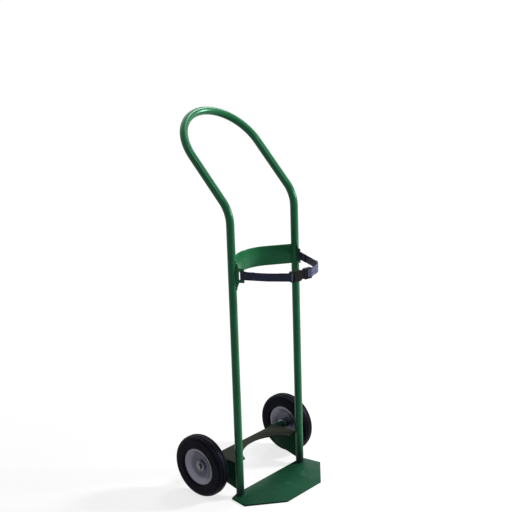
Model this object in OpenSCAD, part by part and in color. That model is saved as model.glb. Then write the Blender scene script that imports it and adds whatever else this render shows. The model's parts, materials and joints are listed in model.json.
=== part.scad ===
// Hand trolley for one tall round load: bent tube frame, toe plate, two wheels and a buckled strap.
// Millimetres. The origin is on the floor on the load's axis, +Z is up and the toe plate points to -Y.
// Left and right are as seen from the front, so left is -X.

/* [Load] */
// Diameter of the round load that the cradles are shaped for
load_d = 235; // [225:1:245]
// Gap between the load and the cradles
load_gap = 2.5; // [1:0.5:5]

/* [Frame tube] */
// Outside diameter of the tube
tube_d = 25.4; // [22:0.1:30]
// Wall of the tube
tube_wall = 2; // [1.5:0.1:3]
// Distance between the centre lines of the two uprights
upright_spacing = 296; // [290:1:316]
// Distance from the load's axis back to the uprights
upright_back = 42; // [36:1:54]
// Height at which the uprights start to bend back
bend_height = 893; // [840:1:960]
// Radius of that bend at the tube's centre line
bend_radius = 100; // [70:1:130]
// Angle by which the handle leans back, in degrees
handle_lean = 43.6; // [30:0.2:55]
// Straight run between the bend and the handle's loop
handle_run = 172; // [120:1:240]

/* [Toe plate] */
// Thickness of the toe plate
toe_thickness = 6; // [4:0.5:8]
// Width of the straight front edge
toe_front_w = 168; // [120:1:240]
// Distance from the load's axis to the front edge
toe_front_reach = 100; // [80:1:130]
// Width at the side corners, where the plate is widest
toe_side_w = 380; // [360:1:400]
// Distance from the load's axis forward to the side corners
toe_side_reach = 13; // [0:1:40]
// Width at the back corners
toe_back_w = 360; // [345:1:380]
// Distance from the load's axis back to the back corners
toe_back_corner = 50; // [30:1:52]
// Margin of the plate behind the uprights
toe_back_margin = 4; // [1:0.5:10]

/* [Saddle and side plates] */
// Thickness of the saddle plate and the two side plates
plate_t = 4.8; // [3:0.1:8]
// Margin of the saddle plate behind the centre of the axle
saddle_margin = 4; // [0:0.5:20]
// Height of the side plates' lower edge at the uprights
side_low_front = 22; // [14:1:40]
// Height of the side plates' lower edge under the axle
side_low_axle = 46; // [30:1:70]
// Height where the side plates' back edge starts
side_low_rear = 76; // [72:1:90]
// Margin of the side plates behind the centre of the axle
side_margin = 22; // [14:1:35]

/* [Wheels and axle] */
// Outside diameter of the tyre
wheel_d = 203.2; // [190:0.1:220]
// Width of the tyre
tyre_w = 44.5; // [40:0.1:52]
// Radius of the tyre's crown, seen in section
crown_r = 48; // [36:1:80]
// Radius of the tyre's outer shoulders
shoulder_r = 12; // [8:0.5:16]
// Radius of the tyre's inner edges, beside the rim
bead_r = 6; // [3:0.5:8]
// Width of each groove in the tread
groove_w = 2.6; // [1.5:0.1:4]
// Depth of each groove in the tread
groove_depth = 2.5; // [1:0.1:4]
// Distance between the two grooves
groove_spacing = 15; // [8:0.5:20]
// Diameter over the rim's lips
rim_d = 121; // [115:0.5:126]
// Height of the lips above the tyre's seat
lip_h = 4; // [2:0.5:6]
// Width between the lips
rim_w = 30; // [24:0.5:34]
// Thickness of the rim's sheet
rim_sheet = 2; // [1.2:0.1:3]
// Distance of the dished disc from the wheel's middle, at the hub
dish_hub = 1; // [0.5:0.5:2]
// Depth of the dish's outer edge under the lip
dish_edge = 1; // [0:0.5:3]
// Diameter of the flat middle of the disc
dish_flat_d = 74; // [60:1:84]
// Outside diameter of the hub sleeve
hub_d = 32; // [28:0.5:40]
// Distance of the hub's outer end from the wheel's middle, with its bush flange
hub_out = 7; // [6:0.5:14]
// Distance of the hub's inner end from the wheel's middle, with its bush flange
hub_in = 22; // [18:0.5:27]
// Outside diameter of the bushes
bush_d = 22; // [20:0.5:25]
// Length of each bush, with its flange
bush_len = 11; // [8:0.5:11.5]
// Diameter of the bush flanges
flange_d = 30; // [26:0.5:32]
// Thickness of the bush flanges
flange_t = 2; // [1:0.5:3]
// Diameter of the axle
axle_d = 16; // [14:0.1:18]
// Distance from the load's axis back to the axle
axle_back = 148; // [140:1:165]
// Distance between the middles of the two wheels
wheel_track = 418; // [400:1:440]
// Diameter of the spacers on the axle
spacer_d = 24; // [20:0.5:30]
// Diameter of the washers
washer_d = 34; // [28:0.5:40]
// Thickness of the washers
washer_t = 2.5; // [1.5:0.1:4]
// Diameter of the split pins' shanks
pin_d = 3.6; // [2.5:0.1:4.5]
// Mean radius of the split pins' eyes
pin_eye_r = 4; // [3:0.5:6]
// Length of the split pins' bent legs
pin_leg = 7; // [4:0.5:10]
// Angle by which each leg is bent aside, in degrees
pin_spread = 50; // [20:1:70]
// Length of the axle past the split pins
axle_tip = 4.5; // [4:0.5:10]

/* [Upper cradle and lugs] */
// Height of the middle of the strap, the cradle and the lugs
strap_z = 738; // [650:1:800]
// Height of the cradle band
cradle_h = 63.5; // [40:0.5:90]
// Thickness of the cradle band
cradle_t = 4.8; // [3:0.1:6]
// Thickness of the strap lugs
lug_t = 4; // [3:0.1:6]
// Height of the lugs where they are welded to the uprights
lug_root_h = 96; // [70:1:120]
// Height of the lugs at their tips
lug_tip_h = 46; // [42:1:60]
// Distance from the upright to the slot in the lug
lug_web = 9; // [6:0.5:14]
// Width of the slot in the lug
lug_slot = 7.5; // [7:0.5:10]
// Width of the bar in front of that slot
lug_bar = 9; // [6:0.5:12]

/* [Strap] */
// Width of the webbing
strap_w = 25.4; // [20:0.1:30]
// Thickness of the webbing
strap_t = 2; // [1.2:0.1:2.5]
// Length of the sewn end at each fold
sewn_len = 24; // [12:1:30]
// Straight length of the webbing between the plug's bar and the slack bend at the right-hand side
slack_lead = 6.4; // [4:0.2:12]
// Length of the free tail that lies on the slack webbing
tail_len = 70; // [40:1:90]
// Length of the slack bend before the tail comes down on it
tail_start = 24; // [20:1:30]

/* [Buckle] */
// Direction of the buckle from the load's axis, in degrees from +X
buckle_angle = 259; // [252:1:266]
// Thickness of the buckle
buckle_t = 13; // [12:0.5:15]
// Width of each side rail beside the webbing
rail_w = 3.6; // [3:0.1:5]
// Length of the socket
socket_len = 40; // [38:0.5:46]
// Length of the plug outside the socket
plug_len = 41; // [38:0.5:46]
// Length of the plug's neck
neck_len = 11; // [8:0.5:12]
// Diameter of each bar that the webbing passes round
bar_d = 4; // [3:0.1:4.4]
// Distance from the end of the buckle to the nearest bar
bar_edge = 1.2; // [0.8:0.1:2]
// Width of each slot beside a bar
bar_slot = 7; // [6.5:0.1:8]
// Wall of the socket
socket_wall = 2.2; // [1.6:0.1:2.6]
// Distance from the socket's mouth to its side windows
window_start = 11; // [9:0.5:13]
// Thickness of each latch arm's stem
arm_t = 3.2; // [2.4:0.1:3.6]
// Radius of each latch arm's root
root_r = 2.4; // [2:0.1:3]

/* [Hidden] */
$fn = 64;
large_round = 128;

// Colours
frame_green = [0.10, 0.42, 0.27];
plate_green = [0.07, 0.33, 0.22];
rubber_black = [0.08, 0.08, 0.09];
rim_grey = [0.55, 0.56, 0.58];
zinc = [0.72, 0.73, 0.75];
bronze = [0.62, 0.47, 0.25];
webbing_navy = [0.08, 0.09, 0.14];
plastic_black = [0.05, 0.05, 0.06];

// Clearances
// Radial gap of a running shaft
run_fit = 0.05;
// Radial gap of a fixed shaft in its hole
fixed_fit = 0.15;
// Gap along the axle on each side of a wheel
end_gap = 0.3;
// Gap between two pieces that are welded to each other
weld_gap = 0.1;
// Gap between the webbing and what it lies on
strap_gap = 0.3;
// Gap between the webbing's edges and a slot's ends
edge_gap = 0.7;
// Gap between the load and the buckle
buckle_stand = 1;
// Gap between the two halves of the buckle
buckle_gap = 0.5;
// Gap between the latch arms and the socket's inside
arm_gap = 0.6;
// Gap between the latch arms' tips and the end of the socket's inside
tip_gap = 2;
// Length by which a cutting shape passes the face that it cuts
cut = 1;

// Frame
tube_r = tube_d / 2;
upright_x = upright_spacing / 2;
left_upright = [-upright_x, upright_back];
cradle_r = load_d / 2 + load_gap;
upright_behind = upright_back + tube_r;

// Wheels
wheel_r = wheel_d / 2;
wheel_x = wheel_track / 2;
seat_r = rim_d / 2 - lip_h;
seat_in_r = seat_r - rim_sheet;
tyre_in_r = rim_d / 2 + end_gap;
dish_seat = rim_w / 2 - dish_edge;
inner_washer = hub_in + end_gap;
outer_washer = hub_out + end_gap;
pin_x = wheel_x + outer_washer + washer_t + end_gap + pin_d / 2;
axle_len = 2 * (pin_x + axle_tip);
saddle_low = wheel_r + axle_d / 2 + weld_gap;
side_face = upright_x + plate_t / 2;

// Strap and lugs
strap_r = load_d / 2 + strap_gap + strap_t / 2;
layer_step = strap_t + strap_gap;
lug_fold = lug_t / 2 + strap_gap + strap_t / 2;
bar_fold = bar_d / 2 + strap_gap + strap_t / 2;
fold_steps = 10;
fold_taper = 10;
bend_step = 3;
section_step = 10;
left_lug_angle = direction(left_upright) + acos((strap_r - lug_fold) / norm(left_upright));
right_lug_angle = 540 - left_lug_angle;
left_lug_fold = left_upright + (tube_r + lug_web + lug_slot) * along(left_lug_angle);
right_lug_fold = [-left_lug_fold[0], left_lug_fold[1]];
lug_reach = lug_web + lug_slot + lug_bar;
slot_h = strap_w + 2 * edge_gap;

// Buckle, in its own directions: s runs along the strap to the right, h runs outwards
buckle_r = load_d / 2 + buckle_stand + buckle_t / 2;
buckle_w = slot_h + 2 * rail_w;
socket_bar = -socket_len + bar_edge + bar_d / 2;
socket_fold = buckle_point(socket_bar, 0);
socket_angle = direction(socket_fold) - acos((strap_r - bar_fold) / norm(socket_fold));
socket_end = socket_bar + bar_d / 2 + bar_slot;
plug_end_bar = plug_len - bar_edge - bar_d / 2;
plug_bar = plug_end_bar - bar_d - bar_slot;
plug_fold = buckle_point(plug_bar, 0);
root_hold = 0.3;
root_wall = 1;
root_s = buckle_gap + root_hold;
root_z = slot_h / 2 - root_r - root_wall;
arm_end = socket_end + socket_wall + tip_gap;
shoulder_s = -window_start - arm_gap;
cavity_w = buckle_w - 2 * socket_wall;
cavity_t = buckle_t - 2 * socket_wall;
arm_w = cavity_t - 2 * arm_gap;

// Plane geometry
function polar(r, a) = r * [cos(a), sin(a)];
function along(a) = [-sin(a), cos(a)];
function direction(p) = (atan2(p[1], p[0]) + 360) % 360;
function cross2(a, b) = a[0] * b[1] - a[1] * b[0];
function unit(v) = v / norm(v);
function turn_left(v) = [-v[1], v[0]];
function backwards(path) = [for (i = [len(path) - 1:-1:0]) path[i]];
function buckle_point(s, h) = polar(buckle_r + h, buckle_angle) + s * along(buckle_angle);
function arc(centre, r, from, to, step) =
    let (steps = max(1, ceil(abs(to - from) / step)))
    [for (i = [0:steps]) centre + polar(r, from + (to - from) * i / steps)];

// Half turn round a bar, from the side opposite to out to the side of out
function half_turn(centre, r, ahead, out) =
    [for (i = [0:fold_steps]) let (a = 180 * i / fold_steps) centre - r * (cos(a) * out + sin(a) * ahead)];

// Sewn end: back along the layer on the outer side, then round the bar
function sewn_end(centre, r, ahead, out, bar) = concat(
    [centre + (bar + fold_taper + sewn_len) * ahead + (r - layer_step) * out],
    [centre + (bar + fold_taper) * ahead + (r - layer_step) * out],
    [centre + bar * ahead - r * out],
    half_turn(centre, r, ahead, out)
);

// Outline of a strip of thickness t along a path
function corner_normal(path, i) =
    let (
        last = len(path) - 1,
        before = turn_left(unit(path[max(i, 1)] - path[max(i, 1) - 1])),
        after = turn_left(unit(path[min(i, last - 1) + 1] - path[min(i, last - 1)])),
        middle = unit(before + after)
    )
    middle / (middle * before);
function strip(path, t) = concat(
    [for (i = [0:len(path) - 1]) path[i] + t / 2 * corner_normal(path, i)],
    [for (i = [len(path) - 1:-1:0]) path[i] - t / 2 * corner_normal(path, i)]
);

// Route of the left strap, from its left lug round the load to the socket
left_route = concat(
    sewn_end(left_lug_fold, lug_fold, along(left_lug_angle), polar(1, left_lug_angle), lug_bar),
    arc([0, 0], strap_r, left_lug_angle, socket_angle, bend_step),
    backwards(sewn_end(socket_fold, bar_fold, -along(socket_angle), polar(1, socket_angle), bar_d / 2))
);

// Route of the right strap, from its free tail through the plug and round to the right lug
slack_from = plug_fold - bar_fold * polar(1, buckle_angle);
slack_to = polar(strap_r, right_lug_angle);
slack_corner = slack_from + along(buckle_angle)
    * cross2(slack_to - slack_from, along(right_lug_angle))
    / cross2(along(buckle_angle), along(right_lug_angle));
slack_turn = right_lug_angle - buckle_angle;
slack_start = slack_from + slack_lead * along(buckle_angle);
slack_r = norm(slack_corner - slack_start) / tan(slack_turn / 2);
slack_centre = slack_start - slack_r * polar(1, buckle_angle);
slack_len = slack_r * slack_turn * PI / 180;
over_bars = plug_len - plug_bar + strap_gap;
tail_steps = 18;

// Point at a length along the slack bend and the straight run after it, on the layer outside the webbing
function tail_point(length) =
    let (a = buckle_angle + slack_turn * min(length / slack_len, 1))
    slack_centre + polar(slack_r + layer_step, a) + max(length - slack_len, 0) * along(a);

right_route = concat(
    [for (i = [tail_steps:-1:0]) tail_point(tail_start + tail_len * i / tail_steps)],
    [plug_fold + over_bars * along(buckle_angle) + bar_fold * polar(1, buckle_angle)],
    half_turn(plug_fold, bar_fold, along(buckle_angle), -polar(1, buckle_angle)),
    arc(slack_centre, slack_r, buckle_angle, right_lug_angle, bend_step),
    backwards(sewn_end(
        right_lug_fold, lug_fold, -along(right_lug_angle), polar(1, right_lug_angle), lug_bar
    ))
);

// Route of the cradle band, from the right upright round behind the load to the left upright
cradle_mid_r = cradle_r + cradle_t / 2;
cradle_from = 180 - direction(left_upright) + acos(cradle_mid_r / norm(left_upright));
cradle_wing = sqrt(norm(left_upright) ^ 2 - cradle_mid_r ^ 2) - tube_r;
cradle_route = concat(
    [polar(cradle_mid_r, cradle_from) - cradle_wing * along(cradle_from)],
    arc([0, 0], cradle_mid_r, cradle_from, 180 - cradle_from, bend_step),
    [polar(cradle_mid_r, 180 - cradle_from) + cradle_wing * along(180 - cradle_from)]
);

// Half of the tyre's section as [radius, distance from the middle], from the rim's seat to the crown
crown_centre = [wheel_r - crown_r, 0];
shoulder_side = tyre_w / 2 - shoulder_r;
shoulder_out = sqrt((crown_r - shoulder_r) ^ 2 - shoulder_side ^ 2);
shoulder_centre = crown_centre + [shoulder_out, shoulder_side];
crown_end = atan2(shoulder_side, shoulder_out);
groove_in = asin((groove_spacing - groove_w) / 2 / crown_r);
groove_out = asin((groove_spacing + groove_w) / 2 / crown_r);
groove_floor = wheel_r - groove_depth;
tyre_half = concat(
    [[seat_r, rim_w / 2], [tyre_in_r, rim_w / 2]],
    arc([tyre_in_r + bead_r, tyre_w / 2 - bead_r], bead_r, 180, 90, section_step),
    arc(shoulder_centre, shoulder_r, 90, crown_end, section_step),
    arc(crown_centre, crown_r, crown_end - section_step / 2, groove_out, section_step),
    [[groove_floor, (groove_spacing + groove_w) / 2], [groove_floor, (groove_spacing - groove_w) / 2]],
    arc(crown_centre, crown_r, groove_in, 0, section_step)
);
tyre_outline = concat(tyre_half, [for (i = [len(tyre_half) - 2:-1:0]) [tyre_half[i][0], -tyre_half[i][1]]]);

// Frames of reference
// Local z runs up along the handle from the middle of the bend, at the bend's centre
module on_handle() {
    translate([0, upright_back + bend_radius, bend_height]) rotate([-handle_lean, 0, 0]) children();
}

// Local z runs outwards along the axle from the middle of the wheel
module on_wheel(side) {
    translate([side * wheel_x, axle_back, wheel_r]) rotate([0, side * 90, 0]) children();
}

// Local x runs along the strap, local -y runs outwards
module on_buckle() {
    translate([0, 0, strap_z]) rotate([0, 0, buckle_angle + 90]) translate([0, -buckle_r, 0]) children();
}

// Shared shapes
module ring(d, bore, from, to) {
    translate([0, 0, from]) difference() {
        cylinder(d = d, h = to - from);
        translate([0, 0, -cut]) cylinder(d = bore, h = to - from + 2 * cut);
    }
}

module rounded_square(size, r) {
    translate([r, 0]) square([size[0] - 2 * r, size[1]]);
    translate([0, r]) square([size[0], size[1] - 2 * r]);
    for (x = [r, size[0] - r], y = [r, size[1] - r]) {
        translate([x, y]) circle(r);
    }
}

// Block along the buckle, with rounded corners as seen from outside
module buckle_block(from, to, w, t, r) {
    translate([from, 0, -w / 2]) rotate([90, 0, 0])
        linear_extrude(height = t, center = true) rounded_square([to - from, w], r);
}

// Plain cut through the buckle
module buckle_cut(from, to, w, t) {
    translate([from, -t / 2, -w / 2]) cube([to - from, t, w]);
}

// Round bar across the buckle, held in its side rails
module webbing_bar(s) {
    translate([s, 0, 0]) cylinder(d = bar_d, h = slot_h + rail_w, center = true);
}

// Frame
module upright(side) {
    color(frame_green) translate([side * upright_x, upright_back, 0])
        ring(tube_d, tube_d - 2 * tube_wall, toe_thickness, bend_height - weld_gap);
}

// Centre line of the handle as a solid rod: two bends, two straight runs and the loop
module handle_rod(d) {
    for (side = [-1, 1]) {
        translate([side * upright_x, 0, 0]) rotate([-90, 0, -90])
            rotate_extrude(angle = handle_lean) translate([bend_radius, 0]) circle(d = d);
        translate([side * upright_x, -bend_radius, 0]) cylinder(d = d, h = handle_run);
    }
    translate([0, -bend_radius, handle_run]) rotate([90, 0, 0])
        rotate_extrude(angle = 180) translate([upright_x, 0]) circle(d = d);
}

// Handle tube, welded onto the tops of the two uprights
module handle() {
    color(frame_green) on_handle() difference() {
        handle_rod(tube_d);
        handle_rod(tube_d - 2 * tube_wall);
    }
}

module toe_plate() {
    half = [
        [toe_front_w / 2, -toe_front_reach],
        [toe_side_w / 2, -toe_side_reach],
        [toe_back_w / 2, toe_back_corner],
        [upright_x, upright_behind + toe_back_margin],
    ];
    other_half = [for (p = backwards(half)) [-p[0], p[1]]];
    color(plate_green) linear_extrude(height = toe_thickness) polygon(concat(half, other_half));
}

module saddle_plate() {
    depth = axle_back + saddle_margin - upright_behind;
    color(plate_green) translate([0, 0, saddle_low]) linear_extrude(height = plate_t) difference() {
        translate([-side_face, upright_behind]) square([2 * side_face, depth]);
        circle(r = cradle_r, $fn = large_round);
    }
}

module side_plate(side) {
    rear = axle_back + side_margin;
    outline = [
        [upright_behind, side_low_front],
        [axle_back, side_low_axle],
        [rear, side_low_rear],
        [rear, saddle_low],
        [upright_behind, saddle_low],
    ];
    color(plate_green) translate([side * upright_x - plate_t / 2, 0, 0]) rotate([90, 0, 90])
        linear_extrude(height = plate_t) difference() {
            polygon(outline);
            translate([axle_back, wheel_r]) circle(d = axle_d + 2 * fixed_fit);
        }
}

module upper_cradle() {
    color(frame_green) translate([0, 0, strap_z - cradle_h / 2])
        linear_extrude(height = cradle_h) polygon(strip(cradle_route, cradle_t));
}

module strap_lug(side) {
    outline = [
        [0, -lug_root_h / 2],
        [lug_web, -lug_tip_h / 2],
        [lug_reach, -lug_tip_h / 2],
        [lug_reach, lug_tip_h / 2],
        [lug_web, lug_tip_h / 2],
        [0, lug_root_h / 2],
    ];
    color(frame_green) mirror([side > 0 ? 1 : 0, 0, 0])
        translate([left_upright[0], left_upright[1], strap_z]) rotate([0, 0, left_lug_angle + 90])
        translate([tube_r, lug_t / 2, 0]) rotate([90, 0, 0]) linear_extrude(height = lug_t) difference() {
            polygon(outline);
            translate([lug_web, -slot_h / 2]) square([lug_slot, slot_h]);
        }
}

// Axle and what is on it
module axle() {
    color(zinc) difference() {
        translate([-axle_len / 2, axle_back, wheel_r]) rotate([0, 90, 0])
            cylinder(d = axle_d, h = axle_len);
        for (side = [-1, 1]) {
            translate([side * pin_x, axle_back, wheel_r - axle_d]) cylinder(d = pin_d, h = 2 * axle_d);
        }
    }
}

module spacer(side) {
    color(plate_green) on_wheel(side)
        ring(spacer_d, axle_d + 2 * fixed_fit, side_face - wheel_x, -inner_washer - washer_t);
}

module washers(from, to) {
    color(zinc) for (side = [-1, 1]) {
        on_wheel(side) ring(washer_d, axle_d + 2 * fixed_fit, from, to);
    }
}

module split_pins() {
    top = axle_d / 2 + pin_d / 2;
    color(zinc) for (side = [-1, 1]) {
        translate([side * pin_x, axle_back, wheel_r]) {
            translate([0, 0, -top]) cylinder(d = pin_d, h = 2 * top);
            translate([0, 0, top + pin_eye_r]) rotate([0, 90, 0])
                rotate_extrude() translate([pin_eye_r, 0]) circle(d = pin_d / 2);
            for (bent = [-pin_spread, pin_spread]) {
                translate([0, 0, -top + pin_d / 4]) rotate([180 + bent, 0, 0])
                    cylinder(d = pin_d / 2, h = pin_leg);
            }
        }
    }
}

// Wheels
module tyre(side) {
    color(rubber_black) on_wheel(side) rotate_extrude($fn = large_round) polygon(tyre_outline);
}

// One half of the rim: dished disc, tyre seat and lip
module rim_section() {
    flat_r = dish_flat_d / 2;
    polygon([
        [hub_d / 2, dish_hub],
        [flat_r, dish_hub],
        [seat_in_r, dish_seat],
        [seat_in_r, dish_seat + rim_sheet],
        [flat_r, dish_hub + rim_sheet],
        [hub_d / 2, dish_hub + rim_sheet],
    ]);
    translate([seat_in_r, 0]) square([rim_sheet, rim_w / 2 + rim_sheet]);
    translate([seat_in_r, rim_w / 2]) square([rim_d / 2 - seat_in_r, rim_sheet]);
}

module rim_half(side, outer) {
    color(rim_grey) on_wheel(side) mirror([0, 0, outer ? 0 : 1])
        rotate_extrude($fn = large_round) rim_section();
}

module hub(side) {
    color(rim_grey) on_wheel(side) ring(hub_d, bush_d, flange_t - hub_in, hub_out - flange_t);
}

module bush(side, outer) {
    bore = axle_d + 2 * run_fit;
    end = outer ? hub_out : hub_in;
    color(bronze) on_wheel(side) mirror([0, 0, outer ? 0 : 1]) {
        ring(bush_d, bore, end - bush_len, end);
        ring(flange_d, bore, end - flange_t, end);
    }
}

// Strap and buckle
module webbing(route) {
    color(webbing_navy) translate([0, 0, strap_z - strap_w / 2])
        linear_extrude(height = strap_w) polygon(strip(route, strap_t));
}

module buckle_socket() {
    corner = 5;
    inside = socket_end + socket_wall;
    color(plastic_black) on_buckle() {
        difference() {
            buckle_block(-socket_len, 0, buckle_w, buckle_t, corner);
            buckle_cut(-socket_len - cut, socket_end, slot_h, buckle_t + 2 * cut);
            buckle_cut(inside, cut, cavity_w, cavity_t);
            buckle_cut(inside, -window_start, buckle_w + 2 * cut, cavity_t);
        }
        webbing_bar(socket_bar);
    }
}

module buckle_plug() {
    corner = 4;
    plug_t = buckle_t - 2;
    slot_from = plug_bar - bar_d / 2 - bar_slot;
    color(plastic_black) on_buckle() {
        difference() {
            union() {
                buckle_block(neck_len, plug_len, buckle_w, plug_t, corner);
                buckle_cut(buckle_gap, neck_len + corner, slot_h, cavity_t);
                buckle_cut(arm_end, neck_len, arm_t, arm_w);
            }
            buckle_cut(slot_from, plug_len + cut, slot_h, buckle_t);
            for (up = [-1, 1]) {
                translate([root_s, 0, up * root_z]) rotate([90, 0, 0])
                    cylinder(r = root_r + run_fit, h = buckle_t, center = true);
            }
        }
        webbing_bar(plug_bar);
        webbing_bar(plug_end_bar);
    }
}

// Latch arm with its round root in the plug's neck and its barb in the socket's window
module latch_arm(up) {
    pad_rise = 0.8;
    pad_ramp = 6;
    pad_ease = 1;
    side = buckle_w / 2 - root_z;
    tip = arm_end - root_s;
    shoulder = shoulder_s - root_s;
    outline = [
        [0, -arm_t / 2],
        [tip, -arm_t / 2],
        [tip, arm_t / 2],
        [tip + pad_ramp, side + pad_rise],
        [shoulder - pad_ease, side + pad_rise],
        [shoulder, side - pad_ease],
        [shoulder, arm_t / 2],
        [0, arm_t / 2],
    ];
    color(plastic_black) on_buckle() mirror([0, 0, up ? 0 : 1])
        translate([root_s, 0, root_z]) rotate([90, 0, 0]) {
            linear_extrude(height = arm_w, center = true) polygon(outline);
            cylinder(r = root_r, h = arm_w, center = true);
        }
}

upright(-1);  // left_upright
upright(1);  // right_upright
handle();
toe_plate();
saddle_plate();
side_plate(-1);  // left_side_plate
side_plate(1);  // right_side_plate
upper_cradle();
strap_lug(-1);  // left_strap_lug
strap_lug(1);  // right_strap_lug
axle();
spacer(-1);  // left_spacer
spacer(1);  // right_spacer
washers(-inner_washer - washer_t, -inner_washer);  // inner_washers
washers(outer_washer, outer_washer + washer_t);  // outer_washers
split_pins();
tyre(-1);  // left_tyre
rim_half(-1, true);  // left_outer_rim
rim_half(-1, false);  // left_inner_rim
hub(-1);  // left_hub
bush(-1, true);  // left_outer_bush
bush(-1, false);  // left_inner_bush
tyre(1);  // right_tyre
rim_half(1, true);  // right_outer_rim
rim_half(1, false);  // right_inner_rim
hub(1);  // right_hub
bush(1, true);  // right_outer_bush
bush(1, false);  // right_inner_bush
webbing(left_route);  // left_strap
webbing(right_route);  // right_strap
buckle_socket();
buckle_plug();
latch_arm(true);  // upper_latch_arm
latch_arm(false);  // lower_latch_arm
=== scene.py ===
"""Finish of a hand trolley for one tall round load: paint, rubber, rims, webbing, welds and stage."""

import json
import math

import bpy
from mathutils import Matrix, Vector

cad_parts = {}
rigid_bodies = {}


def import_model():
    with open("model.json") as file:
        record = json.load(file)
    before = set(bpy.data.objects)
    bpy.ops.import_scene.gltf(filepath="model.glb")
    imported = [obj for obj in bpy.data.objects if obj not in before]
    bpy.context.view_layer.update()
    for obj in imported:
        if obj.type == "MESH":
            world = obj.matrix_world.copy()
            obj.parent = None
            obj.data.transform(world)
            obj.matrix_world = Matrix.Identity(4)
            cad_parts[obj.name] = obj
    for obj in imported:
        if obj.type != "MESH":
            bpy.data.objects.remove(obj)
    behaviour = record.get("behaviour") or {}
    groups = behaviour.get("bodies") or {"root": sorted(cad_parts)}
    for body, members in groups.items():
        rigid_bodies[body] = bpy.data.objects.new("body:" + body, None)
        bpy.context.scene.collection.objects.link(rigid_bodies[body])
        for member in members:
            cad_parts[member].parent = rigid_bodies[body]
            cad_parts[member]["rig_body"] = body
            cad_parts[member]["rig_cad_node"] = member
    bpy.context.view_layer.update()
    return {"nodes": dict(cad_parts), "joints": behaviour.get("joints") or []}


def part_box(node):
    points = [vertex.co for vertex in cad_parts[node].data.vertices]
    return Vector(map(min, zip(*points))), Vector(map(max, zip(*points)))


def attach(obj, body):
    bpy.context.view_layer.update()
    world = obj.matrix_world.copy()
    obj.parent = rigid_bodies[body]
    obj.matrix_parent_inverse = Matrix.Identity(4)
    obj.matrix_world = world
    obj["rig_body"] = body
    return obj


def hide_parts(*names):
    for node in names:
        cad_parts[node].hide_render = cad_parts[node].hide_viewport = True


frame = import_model()

bl_info = {
    "name": "Hand Trolley Finish",
    "version": (1, 0, 0),
    "blender": (4, 5, 0),
    "location": "3D View > Sidebar > Trolley",
    "description": "Dresses the trolley's solids in their finishes and sets the stage",
    "category": "Object",
}

MM = 0.001
UP = Vector((0, 0, 1))
SIDES = {"left": -1, "right": 1}
JOINTS = {joint["name"]: joint for joint in frame["joints"]}

# Places taken from the solids
TUBE_LOW, TUBE_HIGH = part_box("left_upright")
TUBE_R = (TUBE_HIGH.x - TUBE_LOW.x) / 2
UPRIGHT_X = -(TUBE_HIGH.x + TUBE_LOW.x) / 2
UPRIGHT_Y = (TUBE_HIGH.y + TUBE_LOW.y) / 2
BEND_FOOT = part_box("handle")[0].z
SADDLE_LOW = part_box("saddle_plate")[0]
SIDE_LOW, SIDE_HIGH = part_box("left_side_plate")
PLATE_T = SIDE_HIGH.x - SIDE_LOW.x
AXLE_LOW, AXLE_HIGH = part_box("axle")
AXLE_R = (AXLE_HIGH.z - AXLE_LOW.z) / 2
AXLE_Y = (AXLE_HIGH.y + AXLE_LOW.y) / 2
AXLE_Z = (AXLE_HIGH.z + AXLE_LOW.z) / 2
TYRE_LOW, TYRE_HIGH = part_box("left_tyre")
TYRE_R = (TYRE_HIGH.z - TYRE_LOW.z) / 2
TYRE_W = TYRE_HIGH.x - TYRE_LOW.x
RIM_LOW, RIM_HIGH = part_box("left_outer_rim")
RIM_R = (RIM_HIGH.z - RIM_LOW.z) / 2
HUB_LOW, HUB_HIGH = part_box("left_hub")
HUB_R = (HUB_HIGH.z - HUB_LOW.z) / 2
BUCKLE_OUT = Vector(JOINTS["upper_latch_squeeze"]["axis"])
BUCKLE_AHEAD = UP.cross(BUCKLE_OUT)

# Fine measures of the modelling
SOLID_MERGE = 0.01 * MM
RING_MERGE = 0.001 * MM
FLAT_ANGLE = math.radians(1)
SHARP_ANGLE = 35
EDGE_STEPS = 3
SMALL_ROUND = 0.5 * MM
ALIGNED = 0.999

# Lamps: place and side of each square lamp, and the point that they face
LAMPS = {
    "key": ((1.55, 0.3, 2.8), 0.7),
    "front": ((2.05, -1.75, 1.65), 0.5),
    "top": ((-0.65, -0.87, 3.35), 0.6),
    "back": ((0.6, 1.9, 2.7), 2),
}
LAMP_AIM = Vector((0, 0.05, 0.55))
SENSOR_MM = 36

# Floor: its own glow rises from near the trolley to full white far away
FLOOR_SIDES = 96
FLOOR_NEAR = 0.8
FLOOR_FAR = 4
FLOOR_GLOW = 0.76

# Tints of the gloss on paint, rubber and webbing
PAINT_TINT = (0.35, 1, 0.7, 1)
RUBBER_TINT = (0.5, 0.58, 1, 1)
WEBBING_TINT = (0.5, 0.56, 1, 1)
SHEEN_TINT = (0.52, 0.58, 1, 1)


def colour(name, description, default):
    """Colour property, written in linear light."""
    return bpy.props.FloatVectorProperty(
        name=name, description=description, default=default, size=3, min=0, max=1, subtype="COLOR"
    )


def number(name, description, default, **kind):
    """Number property, with its unit or subtype where it has one."""
    return bpy.props.FloatProperty(name=name, description=description, default=default, **kind)


def length(name, description, default):
    """Length property, in metres."""
    return number(name, description, default, min=0, unit="LENGTH")


def angle(name, description, default):
    """Angle property, written in degrees."""
    return number(name, description, math.radians(default), subtype="ANGLE")


def power(name, description, default):
    """Lamp power, in watts."""
    return number(name, description, default, min=0, unit="POWER")


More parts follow.
